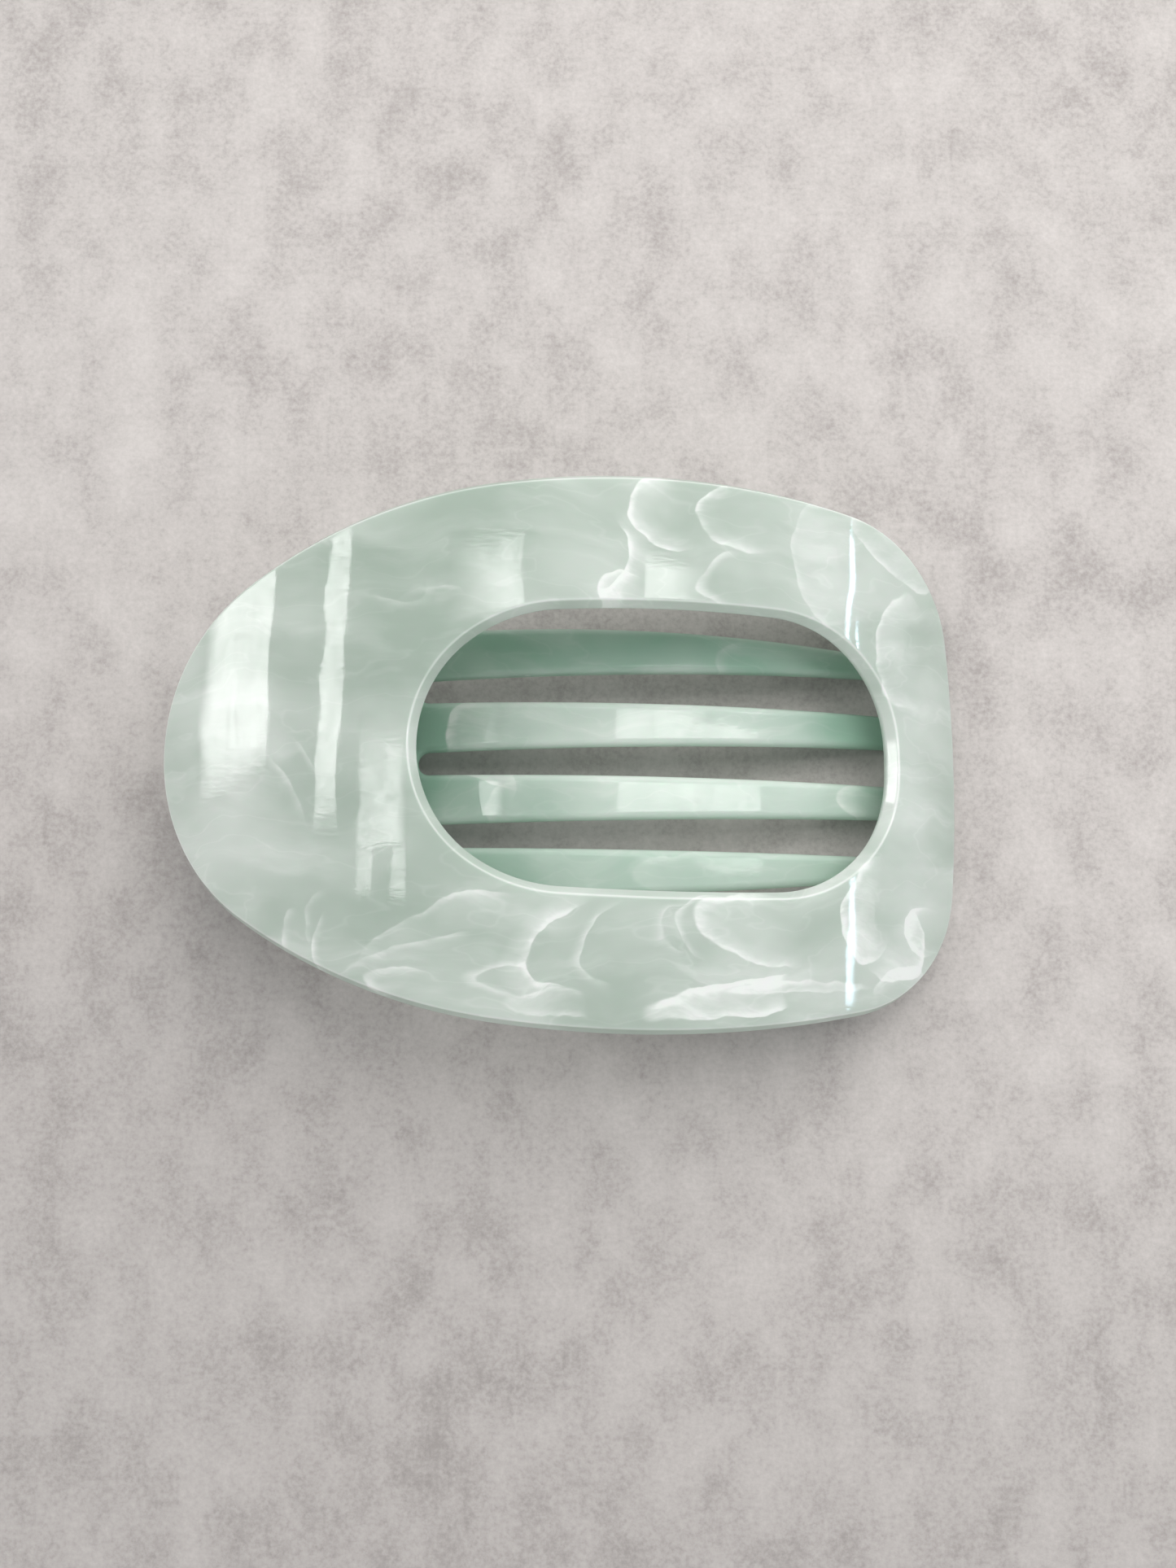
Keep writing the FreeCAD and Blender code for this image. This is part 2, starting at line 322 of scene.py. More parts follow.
def flare():
    """Centre and radius of the comb's flare, and the X where its flat foot begins."""
    slope = -math.asin((COMB_CREST_X - FLARE_START_X) / COMB_RADIUS)
    start_z = COMB_CREST_Z - COMB_RADIUS + COMB_RADIUS * math.cos(slope)
    radius = (start_z - COMB_THICKNESS / 2) / (1 - math.cos(slope))
    centre = (FLARE_START_X + radius * math.sin(slope), start_z + radius * math.cos(slope))
    return centre, radius


def comb_surface(x, y):
    """The same for the comb, whose step is upright because its walls are cut straight down."""
    centre, radius = flare()
    if x >= FLARE_START_X:
        z = COMB_CREST_Z - COMB_RADIUS + math.sqrt(COMB_RADIUS**2 - (x - COMB_CREST_X) ** 2)
        normal = Vector(((x - COMB_CREST_X) / COMB_RADIUS, 0, (z - COMB_CREST_Z + COMB_RADIUS) / COMB_RADIUS))
    elif x >= centre[0]:
        z = centre[1] - math.sqrt(radius**2 - (x - centre[0]) ** 2)
        normal = Vector(((centre[0] - x) / radius, 0, (centre[1] - z) / radius))
    else:
        z = COMB_THICKNESS / 2
        normal = Vector((0, 0, 1))
    return Vector((x, y, z)), normal, Vector((0, 0, 1 / normal.z))


def along_surface(out, normal):
    """A plan direction laid down on the surface."""
    return Vector((out.x, out.y, -(out.x * normal.x + out.y * normal.y) / normal.z)).normalized()


# ---------------------------------------------------------------- meshes


def mesh_object(name, points, faces, normals=None):
    """A smooth mesh from millimetre points, with its own normals where they are given."""
    mesh = bpy.data.meshes.new(name)
    mesh.from_pydata([p * MM for p in points], [], faces)
    mesh.validate()
    mesh.shade_smooth()
    if normals:
        mesh.normals_split_custom_set_from_vertices(normals)
    mesh.update()
    piece = bpy.data.objects.new(name, mesh)
    bpy.context.scene.collection.objects.link(piece)
    return piece


def rim_rows(thickness, slant, rounding):
    """An edge's profile from the top face to the underside, as (inset, level, tilt from straight up).

    Each half is a small round, a flat that leans at the slant, and where that isn't upright a second round.
    """
    half = thickness / 2
    deepest = rounding + (half - rounding) / math.tan(slant)
    rows = []
    for i in range(ROUNDING_STEPS + 1):
        tilt = slant * i / ROUNDING_STEPS
        rows.append((deepest - rounding * math.sin(tilt), half - rounding * (1 - math.cos(tilt)), tilt))
    if slant < math.pi / 2:
        for i in range(ROUNDING_STEPS):
            tilt = slant + (math.pi / 2 - slant) * i / ROUNDING_STEPS
            rows.append((rounding * (1 - math.sin(tilt)), rounding * math.cos(tilt), tilt))
    below = [(inset, -level, math.pi - tilt) for inset, level, tilt in reversed(rows)]
    middle = [(0.0, 0.0, math.pi / 2)] if slant < math.pi / 2 else []
    return rows + middle + below


def rim_highlight_share(tilt, slant):
    """How much painted highlight an edge point gets, as a pale line along its rounding: most in the middle of
    the round.
    """
    if tilt > math.pi / 2:
        tilt = math.pi - tilt
    if tilt < slant:
        return math.sin(math.pi * tilt / slant) ** 2 + 0.3 * tilt / slant
    return 0.3


def rim_point(surface, sample, row):
    """Place and normal of one point of an edge's profile."""
    place, out = sample
    inset, level, tilt = row
    plan = place - out * inset
    middle, normal, step = surface(plan.x, plan.y)
    outward = along_surface(out, normal)
    return middle + step * level, normal * math.cos(tilt) + outward * math.sin(tilt)


def shell_mesh():
    """The windowed shell as one closed grid: the loops run round it, the rows over the top and back below."""
    outer = egg_loop(SHELL_OUTLINE, 1)
    window = egg_loop(WINDOW_OUTLINE, -1)
    rows = rim_rows(SHELL_THICKNESS, SHELL_EDGE_SLANT, SHELL_ROUNDING)
    inset = rows[0][0]
    points = []
    normals = []
    rim_highlight_shares = []
    count = len(outer)
    for i in range(count):
        near = window[i][0] - window[i][1] * inset
        far = outer[i][0] - outer[i][1] * inset
        column = []
        for k in range(1, BAND_STEPS):
            column.append(near.lerp(far, k / BAND_STEPS))
        for plan in column:
            middle, normal, step = shell_surface(plan.x, plan.y)
            points.append(middle + step * (SHELL_THICKNESS / 2))
            normals.append(normal)
            rim_highlight_shares.append(0.0)
        for row in rows:
            place, normal = rim_point(shell_surface, outer[i], row)
            points.append(place)
            normals.append(normal)
            rim_highlight_shares.append(rim_highlight_share(row[2], SHELL_EDGE_SLANT))
        for plan in reversed(column):
            middle, normal, step = shell_surface(plan.x, plan.y)
            points.append(middle - step * (SHELL_THICKNESS / 2))
            normals.append(-normal)
            rim_highlight_shares.append(0.0)
        for row in reversed(rows):
            place, normal = rim_point(shell_surface, window[i], row)
            points.append(place)
            normals.append(normal)
            rim_highlight_shares.append(rim_highlight_share(row[2], SHELL_EDGE_SLANT))
    height = len(points) // count
    faces = []
    for i in range(count):
        a = i * height
        b = (i + 1) % count * height
        for k in range(height):
            n = (k + 1) % height
            faces.append((a + k, b + k, b + n, a + n))
    return points, faces, normals, rim_highlight_shares


def comb_mesh():
    """The slotted comb: both faces filled with triangles, joined by a rounded edge."""
    loop = comb_loop()
    rows = rim_rows(COMB_THICKNESS, math.pi / 2, COMB_ROUNDING)
    count = len(loop)
    edge = [place - out * COMB_ROUNDING for place, out in loop]
    inside = []
    step_x = COMB_SPACING
    step_y = COMB_SPACING * math.sqrt(3) / 2
    for j in range(-round(20 / step_y), round(20 / step_y) + 1):
        for i in range(-52, 50):
            p = Vector(((i + (j % 2) / 2) * step_x, j * step_y))
            if min((p - q).length_squared for q in edge) > (0.55 * COMB_SPACING) ** 2:
                inside.append(p)
    result = delaunay_2d_cdt(edge + inside, [], [list(range(count))], 1, 1e-5)
    used = sorted({k for triangle in result[2] for k in triangle})
    renumbered = {k: i for i, k in enumerate(used)}
    plan = [result[0][k] for k in used]
    triangles = [[renumbered[k] for k in triangle] for triangle in result[2]]
    origins = [result[3][k] for k in used]
    points = []
    normals = []
    rim_highlight_shares = [0.0] * (2 * len(used))
    for side in (1, -1):
        for p in plan:
            middle, normal, step = comb_surface(p.x, p.y)
            points.append(middle + step * (side * COMB_THICKNESS / 2))
            normals.append(normal * side)
    size = len(plan)
    place_of = {}
    for k, sources in enumerate(origins):
        for source in sources:
            place_of[source] = k
    faces = []
    for a, b, c in triangles:
        up = (plan[b] - plan[a]).cross(plan[c] - plan[a]) > 0
        faces.append((a, b, c) if up else (a, c, b))
        faces.append((a + size, c + size, b + size) if up else (a + size, b + size, c + size))
    first = [place_of[i] for i in range(count)]
    last = [k + size for k in first]
    rings = [first]
    for row in rows[1:-1]:
        ring = []
        for sample in loop:
            place, normal = rim_point(comb_surface, sample, row)
            ring.append(len(points))
            points.append(place)
            normals.append(normal)
            rim_highlight_shares.append(rim_highlight_share(row[2], math.pi / 2))
        rings.append(ring)
    rings.append(last)
    for upper, lower in zip(rings, rings[1:]):
        for i in range(count):
            n = (i + 1) % count
            faces.append((upper[i], upper[n], lower[n], lower[i]))
    return points, faces, normals, rim_highlight_shares


def tangent_points(point, radius):
    """Where the two lines from an XZ point touch a circle of this radius about the hinge."""
    dx = point[0] - HINGE_X
    dz = point[1] - HINGE_Z
    bearing = math.atan2(dz, dx)
    turn = math.acos(radius / math.hypot(dx, dz))
    angles = (bearing + turn, bearing - turn)
    return [(HINGE_X + radius * math.cos(a), HINGE_Z + radius * math.sin(a)) for a in angles]


def ear_outline(height, far_side):
    """An ear seen from the side, as XZ points about the hinge: a round eye, two flanks and a buried root."""
    back = (HINGE_X - EAR_ROOT_HALF, height(HINGE_X - EAR_ROOT_HALF))
    front = (HINGE_X + EAR_ROOT_HALF, height(HINGE_X + EAR_ROOT_HALF))
    back_touch = min(tangent_points(back, EAR_RADIUS))
    front_touch = max(tangent_points(front, EAR_RADIUS))
    first = math.atan2(front_touch[1] - HINGE_Z, front_touch[0] - HINGE_X)
    last = math.atan2(back_touch[1] - HINGE_Z, back_touch[0] - HINGE_X)
    if far_side * (last - first) < 0:
        last += far_side * 2 * math.pi
    outline = []
    for i in range(25):
        angle = first + (last - first) * i / 24
        x = HINGE_X + EAR_RADIUS * math.cos(angle)
        outline.append(Vector((x, HINGE_Z + EAR_RADIUS * math.sin(angle))))
    corners = [Vector(p) for p in (back_touch, back, front, front_touch)]
    for start, end in zip(corners, corners[1:]):
        outline += [start.lerp(end, i / 8) for i in range(1, 9)]
    return outline[:-1]


def ear_mesh(height, far_side, span, hole_radius):
    """One ear as a closed ring of rows round its hole, with small bevels."""
    outline = ear_outline(height, far_side)
    hinge = Vector((HINGE_X, HINGE_Z))
    low, high = span
    middle = (low + high) / 2
    bevel = EAR_BEVEL
    edge_rows = [
        (1, middle, 0.0),
        (1, low + bevel, 0.0),
        (1, low + 0.3 * bevel, 0.3 * bevel),
        (1, low, bevel),
    ]
    hole_rows = [(0, low, 0.15), (0, low + 0.15, 0.0)]
    rows = edge_rows + hole_rows
    rows += [(kind, low + high - y, inset) for kind, y, inset in reversed(rows)]
    points = []
    for p in outline:
        ray = (p - hinge).normalized()
        for kind, y, inset in rows[:-1]:
            if kind:
                q = p - ray * inset
            else:
                q = hinge + ray * (hole_radius + inset)
            points.append(Vector((q.x, y, q.y)))
    height_count = len(rows) - 1
    count = len(outline)
    faces = []
    turn = far_side > 0
    for i in range(count):
        a = i * height_count
        b = (i + 1) % count * height_count
        for k in range(height_count):
            n = (k + 1) % height_count
            face = (a + k, b + k, b + n, a + n)
            faces.append(face if turn else tuple(reversed(face)))
    return points, faces


def with_ears(name, plate, height, far_side, span, hole_radius):
    """A plate and its pair of ears in one object."""
    points, faces, normals, rim_highlight_shares = plate
    for low, high in (span, (-span[1], -span[0])):
        ear_points, ear_faces = ear_mesh(height, far_side, (low, high), hole_radius)
        base = len(points)
        points += ear_points
        faces += [tuple(base + k for k in face) for face in ear_faces]
        sums = [Vector() for _ in ear_points]
        for face in ear_faces:
            a, b, c, d = [ear_points[k] for k in face]
            square = (c - a).cross(d - b)
            for k in face:
                sums[k] += square
        normals += [s.normalized() for s in sums]
        rim_highlight_shares += [0.0] * len(ear_points)
    piece = mesh_object(name, points, faces, normals)
    # The rim attribute holds each point's share of the painted rim highlight.
    rim = piece.data.attributes.new("rim", "FLOAT", "POINT")
    rim.data.foreach_set("value", rim_highlight_shares)
    return piece


def tube_mesh(path, radius, sides=14):
    """A round wire along a path, with closed ends."""
    points = []
    faces = []
    side = (path[1] - path[0]).cross(Vector((0, 1, 0))).normalized()
    for i, p in enumerate(path):
        ahead = path[min(i + 1, len(path) - 1)] - path[max(i - 1, 0)]
        ahead.normalize()
        side = (side - ahead * side.dot(ahead)).normalized()
        up = ahead.cross(side)
        for k in range(sides):
            angle = 2 * math.pi * k / sides
            points.append(p + (side * math.cos(angle) + up * math.sin(angle)) * radius)
    for i in range(len(path) - 1):
        for k in range(sides):
            n = (k + 1) % sides
            faces.append((i * sides + k, i * sides + n, (i + 1) * sides + n, (i + 1) * sides + k))
    end = (len(path) - 1) * sides
    faces.append(tuple(reversed(range(sides))))
    faces.append(tuple(range(end, end + sides)))
    return points, faces


def spring_path():
    """The wire from the upper leg's end, round the coil, to the lower leg's end."""
    middle, slope = shell_height(LEG_END_X)
    top_z = middle - (SHELL_THICKNESS / 2 + LEG_STANDOFF) / math.cos(slope)
    lever, _, step = comb_surface(LEG_END_X, 0)
    low_z = lever.z + (COMB_THICKNESS / 2 + LEG_STANDOFF) * step.z
    top_touch = max(tangent_points((LEG_END_X, top_z), COIL_RADIUS), key=lambda p: p[1])
    low_touch = min(tangent_points((LEG_END_X, low_z), COIL_RADIUS), key=lambda p: p[1])
    first = math.atan2(top_touch[1] - HINGE_Z, top_touch[0] - HINGE_X)
    last = math.atan2(low_touch[1] - HINGE_Z, low_touch[0] - HINGE_X)
    while last > first:
        last -= 2 * math.pi
    last -= 2 * math.pi * COIL_WHOLE_TURNS
    start = Vector((LEG_END_X, COIL_HALF_LENGTH, top_z))
    end = Vector((LEG_END_X, -COIL_HALF_LENGTH, low_z))
    coil = []
    steps = 220
    for i in range(steps + 1):
        angle = first + (last - first) * i / steps
        y = COIL_HALF_LENGTH * (1 - 2 * i / steps)
        x = HINGE_X + COIL_RADIUS * math.cos(angle)
        coil.append(Vector((x, y, HINGE_Z + COIL_RADIUS * math.sin(angle))))
    before = [start.lerp(coil[0], i / 6) for i in range(6)]
    after = [coil[-1].lerp(end, i / 6) for i in range(1, 7)]
    return before + coil + after


# ---------------------------------------------------------------- materials


class Graph:
    """A material's node tree, with short calls to add nodes to it."""

    def __init__(self, name):
        self.material = bpy.data.materials.new(name)
        self.material.use_nodes = True
        self.tree = self.material.node_tree
        self.tree.nodes.clear()
        self.output = self.tree.nodes.new("ShaderNodeOutputMaterial")

    def add(self, kind, inputs=None, **settings):
        node = self.tree.nodes.new(kind)
        for name, value in settings.items():
            setattr(node, name, value)
        for name, value in (inputs or {}).items():
            if isinstance(value, bpy.types.NodeSocket):
                self.tree.links.new(value, node.inputs[name])
            else:
                node.inputs[name].default_value = value
        return node

    def math(self, operation, *values, clamp=False):
        node = self.add("ShaderNodeMath", operation=operation, use_clamp=clamp)
        for i, value in enumerate(values):
            if isinstance(value, bpy.types.NodeSocket):
                self.tree.links.new(value, node.inputs[i])
            else:
                node.inputs[i].default_value = value
        return node.outputs[0]

    def vector(self, operation, *values):
        node = self.add("ShaderNodeVectorMath", operation=operation)
        for i, value in enumerate(values):
            if isinstance(value, bpy.types.NodeSocket):
                self.tree.links.new(value, node.inputs[i])
            else:
                node.inputs[i].default_value = value
        return node.outputs[0]

    def place(self):
        """The point being shaded, in millimetres of the object's frame."""
        coordinates = self.add("ShaderNodeTexCoord")
        return self.vector("MULTIPLY", coordinates.outputs["Object"], (1000.0, 1000.0, 1000.0))

    def noise(self, place, scale, detail=2.0, roughness=0.5, stretch=(1.0, 1.0, 1.0), turn=0.0):
        mapping = self.add("ShaderNodeMapping", {"Vector": place, "Rotation": (0, 0, turn), "Scale": stretch})
        inputs = {
            "Vector": mapping.outputs[0],
            "Scale": scale,
            "Detail": detail,
            "Roughness": roughness,
        }
        return self.add("ShaderNodeTexNoise", inputs)

    def ramp(self, value, stops):
        node = self.add("ShaderNodeValToRGB", {"Fac": value})
        elements = node.color_ramp.elements
        while len(elements) < len(stops):
            elements.new(0.5)
        for element, (position, colour) in zip(elements, stops):
            element.position = position
            element.color = (*colour, 1.0)
        return node.outputs[0]

    def span(self, value, low, high, first=0.0, last=1.0, smooth=True):
        node = self.add(
            "ShaderNodeMapRange",
            {"Value": value, "From Min": low, "From Max": high, "To Min": first, "To Max": last},
            interpolation_type="SMOOTHSTEP" if smooth else "LINEAR",
        )
        return node.outputs[0]

    def mix(self, factor, first, second, kind="MIX"):
        node = self.add("ShaderNodeMix", data_type="RGBA", blend_type=kind)
        for slot, value in ((0, factor), (6, first), (7, second)):
            if isinstance(value, bpy.types.NodeSocket):
                self.tree.links.new(value, node.inputs[slot])
            elif slot:
                node.inputs[slot].default_value = (*value, 1.0)
            else:
                node.inputs[slot].default_value = value
        return node.outputs[2]


def swirl(graph, place, centre, radii, turn, fade, facing, half_angle, strength):
    """A white swirl: an ellipse's sharp bright line, and white that fades to the given share of its radii.

    A fade under 1 lies inside the ellipse, and one over 1 outside it. Only the part of the edge within
    half_angle of the facing direction is drawn. Angles are in degrees from +X.
    """
    local = graph.vector("SUBTRACT", place, (centre[0], centre[1], 0.0))
    flat = graph.vector("MULTIPLY", local, (1.0, 1.0, 0.0))
    turned = graph.add(
        "ShaderNodeVectorRotate", {"Vector": flat, "Angle": -math.radians(turn)}, rotation_type="Z_AXIS"
    )
    scaled = graph.vector("MULTIPLY", turned.outputs[0], (1 / radii[0], 1 / radii[1], 0.0))
    length = graph.add("ShaderNodeVectorMath", {0: scaled}, operation="LENGTH").outputs["Value"]
    soft = SWIRL_EDGE / min(radii) * (1 if fade < 1 else -1)
    line = SWIRL_LINE / min(radii) * (1 if fade < 1 else -1)
    body = graph.math("MULTIPLY", graph.span(length, fade, 1.0, smooth=False), 0.55)
    body = graph.math("ADD", body, graph.span(length, 1 - line, 1.0, 0.0, 0.5))
    value = graph.math("MULTIPLY", graph.span(length, 1 + soft, 1 - soft), body)
    if half_angle < 180:
        direction = graph.vector("NORMALIZE", flat)
        bearing = math.radians(facing)
        towards = (math.cos(bearing), math.sin(bearing), 0.0)
        dot = graph.add("ShaderNodeVectorMath", {0: direction, 1: towards}, operation="DOT_PRODUCT")
        ahead = dot.outputs["Value"]
        low = math.cos(math.radians(half_angle))
        high = math.cos(math.radians(half_angle * 0.5))
        value = graph.math("MULTIPLY", value, graph.span(ahead, low, high))
    return graph.math("MULTIPLY", value, strength)


def warped(graph, place, scale, reach, detail=2.0):
    """The place, pushed about in plan by noise, so that what is drawn there flows like poured plastic."""
    cloud = graph.noise(place, scale, detail)
    push = graph.vector("SUBTRACT", cloud.outputs["Color"], (0.5, 0.5, 0.5))
    push = graph.vector("MULTIPLY", push, (reach, reach, 0.0))
    return graph.vector("ADD", place, push)


def marbled_plastic(name, swirls, tone_and_light_patches, dark, mint, pale, through, streak_turn, gloss_marks, painted_rim_highlight):
    """Glossy translucent plastic with white swirls, flow streaks and the mould's fine polishing marks.

    The rounded edges get a painted highlight: their colour is whitened by the given strength, standing in for
    light that gathers in them.
    """
    graph = Graph(name)
    place = graph.place()
    flow = warped(graph, place, 0.06, 4.5)
    flow = warped(graph, flow, 0.14, 2.4)
    flow = warped(graph, flow, 0.3, 1.0)
    loose = warped(graph, flow, 0.045, 9.0)

    cloud = graph.noise(loose, 0.045, 3.0, 0.55, (1.0, 1.8, 1.0), streak_turn)
    value = graph.span(cloud.outputs["Fac"], 0.3, 0.72, 0.05, 0.42)
    streaks = graph.noise(loose, 0.09, 5.0, 0.62, (0.5, 3.2, 1.0), streak_turn)
    value = graph.math("ADD", value, graph.span(streaks.outputs["Fac"], 0.46, 0.8, 0.0, 0.22))
    fray = graph.noise(loose, 0.22, 4.0, 0.65, (0.6, 2.2, 1.0), streak_turn)
    frayed = graph.span(fray.outputs["Fac"], 0.3, 0.68, 0.45, 1.25)
    # Broad soft patches lighten or darken the colour; some of them are painted light and shade, marked where
    # they are listed.
    for centre, radii, strength in tone_and_light_patches:
        local = graph.vector("SUBTRACT", loose, (centre[0], centre[1], 0.0))
        scaled = graph.vector("MULTIPLY", local, (1 / radii[0], 1 / radii[1], 0.0))
        length = graph.add("ShaderNodeVectorMath", {0: scaled}, operation="LENGTH").outputs["Value"]
        value = graph.math("ADD", value, graph.span(length, 1.1, 0.1, 0.0, strength))
    for numbers in swirls:
        drawn = graph.math("MULTIPLY", swirl(graph, flow, *numbers), frayed)
        value = graph.math("ADD", value, drawn)
    wisps = graph.noise(loose, 0.11, 2.0, 0.5, (0.6, 2.0, 1.0), streak_turn + 0.5)
    thin = graph.math("ABSOLUTE", graph.math("SUBTRACT", wisps.outputs["Fac"], 0.5))
    value = graph.math("ADD", value, graph.span(thin, 0.02, 0.0, 0.0, 0.10))
    # Painted highlight: the rim attribute whitens the colour along the rounded edges.
    rim = graph.add("ShaderNodeAttribute", attribute_name="rim").outputs["Fac"]
    value = graph.math("ADD", value, graph.math("MULTIPLY", rim, painted_rim_highlight))
    colour = graph.ramp(value, [(0.0, dark), (0.32, mint), (0.95, pale)])

    specks = graph.add("ShaderNodeTexVoronoi", {"Vector": place, "Scale": 0.09})
    speck = graph.span(specks.outputs["Distance"], 0.02, 0.012)
    chance = graph.add("ShaderNodeSeparateColor", {0: specks.outputs["Color"]}).outputs[0]
    rarity = graph.math("GREATER_THAN", chance, 0.86)
    speck = graph.math("MULTIPLY", graph.math("MULTIPLY", speck, rarity), 0.6)
    colour = graph.mix(speck, colour, (0.10, 0.12, 0.10))

    wavy = warped(graph, place, 0.12, 3.0)
    ripple = graph.noise(wavy, 0.10, 1.0, 0.4)
    marks = graph.noise(wavy, 1.0, 1.0, 0.5, (0.5, 2.2, 1.0), math.radians(-14))
    waves = graph.math("MULTIPLY", ripple.outputs["Fac"], 45.0)
    scratches = graph.math("MULTIPLY", marks.outputs["Fac"], gloss_marks)
    height = graph.math("ADD", waves, scratches)
    bump = graph.add("ShaderNodeBump", {"Height": height, "Strength": 1.0, "Distance": 0.000002})
    smears = graph.noise(place, 0.35, 3.0, 0.6)
    roughness = graph.span(smears.outputs["Fac"], 0.3, 0.75, 0.02, 0.05)
    scratched = graph.span(marks.outputs["Fac"], 0.5, 0.7, 0.0, 0.04)
    roughness = graph.math("ADD", roughness, scratched)

    shader = graph.add(
        "ShaderNodeBsdfPrincipled",
        {
            "Base Color": colour,
            "Roughness": roughness,
            "Normal": bump.outputs[0],
            "IOR": 1.5,
            "Specular IOR Level": 0.8,
            "Subsurface Weight": 0.7,
            "Subsurface Radius": (1.0, 1.35, 1.1),
            "Subsurface Scale": 0.0013,
        },
    )
    glow = graph.add("ShaderNodeBsdfTranslucent", {"Color": (*through, 1.0)})
    both = graph.add("ShaderNodeMixShader", {0: 0.36, 1: shader.outputs[0], 2: glow.outputs[0]})
    graph.tree.links.new(both.outputs[0], graph.output.inputs[0])
    return graph.material


def brushed_steel(name, fine, stretch):
    """Drawn or ground steel: fine lines in its colour, roughness and surface, with darker oily patches."""
    graph = Graph(name)
    place = graph.place()
    lines = graph.noise(place, fine, 3.0, 0.6, stretch)
    patches = graph.noise(place, 0.5, 2.0)
    fine_part = graph.math("MULTIPLY", lines.outputs["Fac"], 0.7)
    shade = graph.math("ADD", fine_part, graph.math("MULTIPLY", patches.outputs["Fac"], 0.3))
    colour = graph.ramp(shade, [(0.25, (0.36, 0.35, 0.34)), (0.75, (0.66, 0.65, 0.63))])
    roughness = graph.span(lines.outputs["Fac"], 0.3, 0.7, 0.22, 0.38)
    bump = graph.add("ShaderNodeBump", {"Height": lines.outputs["Fac"], "Strength": 0.3, "Distance": 0.00002})
    inputs = {"Base Color": colour, "Metallic": 1.0, "Roughness": roughness, "Normal": bump.outputs[0]}
    shader = graph.add("ShaderNodeBsdfPrincipled", inputs)
    graph.tree.links.new(shader.outputs[0], graph.output.inputs[0])
    return graph.material


def floor_material():
    """A pale, slightly pinkish matt sheet with a soft mottle, and painted shade that darkens it towards its
    near left.
    """
    graph = Graph("pale_sheet")
    place = graph.place()
    wide = graph.noise(place, 0.012, 2.0)
    blotch = graph.noise(place, 0.13, 4.0, 0.65, (1.0, 0.7, 1.0))
    grain = graph.noise(place, 1.2, 3.0, 0.7)
    value = graph.math("MULTIPLY", wide.outputs["Fac"], 0.2)
    value = graph.math("ADD", value, graph.math("MULTIPLY", blotch.outputs["Fac"], 0.45))
    value = graph.math("ADD", value, graph.math("MULTIPLY", grain.outputs["Fac"], 0.35))
    stops = [(0.37, (0.325, 0.302, 0.29)), (0.5, (0.44, 0.413, 0.398)), (0.63, (0.51, 0.481, 0.464))]
    colour = graph.ramp(value, stops)
    # Painted shade: the colour darkens towards the near left, standing in for the lamp's light falling off
    # across the sheet.
    slant = graph.add("ShaderNodeVectorMath", {0: place, 1: (0.5, 1.0, 0.0)}, operation="DOT_PRODUCT")
    painted_falloff_shade = graph.span(slant.outputs["Value"], -130.0, 60.0, 0.84, 1.0)
    colour = graph.add("ShaderNodeVectorMath", {0: colour, "Scale": painted_falloff_shade}, operation="SCALE").outputs[0]
    bump = graph.add("ShaderNodeBump", {"Height": value, "Strength": 0.4, "Distance": 0.0002})
    inputs = {"Base Color": colour, "Roughness": 0.75, "Normal": bump.outputs[0], "Specular IOR Level": 0.3}
    shader = graph.add("ShaderNodeBsdfPrincipled", inputs)
    graph.tree.links.new(shader.outputs[0], graph.output.inputs[0])
    return graph.material


# ---------------------------------------------------------------- light and camera

CARD_HEIGHT = 2.5

# Bright cards overhead, by the angles from straight up between which the plastic mirrors them:
# towards +X (from, to), towards +Y (from, to), brightness, the share of each width that fades in and out,
# and how far its +Y end leans towards +X
CARDS = [
    ("card_far_left", (-62.5, -47.5), (8, 38), 9.0, (0.3, 0.0), (0.2, 0.25), 0.0),
    ("card_left", (-37.0, -32.3), (1, 30), 9.0, (0.05, 0.05), (0.15, 0.1), 1.2),
    ("card_near_left", (-28.5, -18.5), (0, 12), 6.5, (0.1, 0.25), (0.05, 0.6), 0.0),
    ("card_near_leg_a", (-28.5, -25.2), (-4, 0), 5.0, (0.1, 0.2), (0.3, 0.05), 0.0),
    ("card_near_leg_b", (-22.2, -18.5), (-4, 0), 5.0, (0.2, 0.2), (0.3, 0.05), 0.0),
    ("card_top", (-12, 3.2), (18.5, 25.5), 6.0, (0.8, 0.0), (0.05, 0.2), 0.0),
    ("card_top_right", (26.5, 40), (18.5, 27.0), 8.0, (0.0, 0.7), (0.05, 0.3), 0.0),
    ("card_middle", (3.2, 32.0), (3.6, 10.6), 4.6, (0.02, 0.02), (0.05, 0.05), 0.0),
    ("card_lip_far", (66.6, 67.8), (30, 56), 26.0, (0.15, 0.35), (0.05, 0.1), 6.0),
    ("card_lip_far_b", (71.0, 71.9), (27, 45), 26.0, (0.2, 0.2), (0.2, 0.2), 1.0),
    ("card_lip_near", (66.2, 68.6), (-23, 8), 20.0, (0.2, 0.5), (0.1, 0.1), 0.0),
]


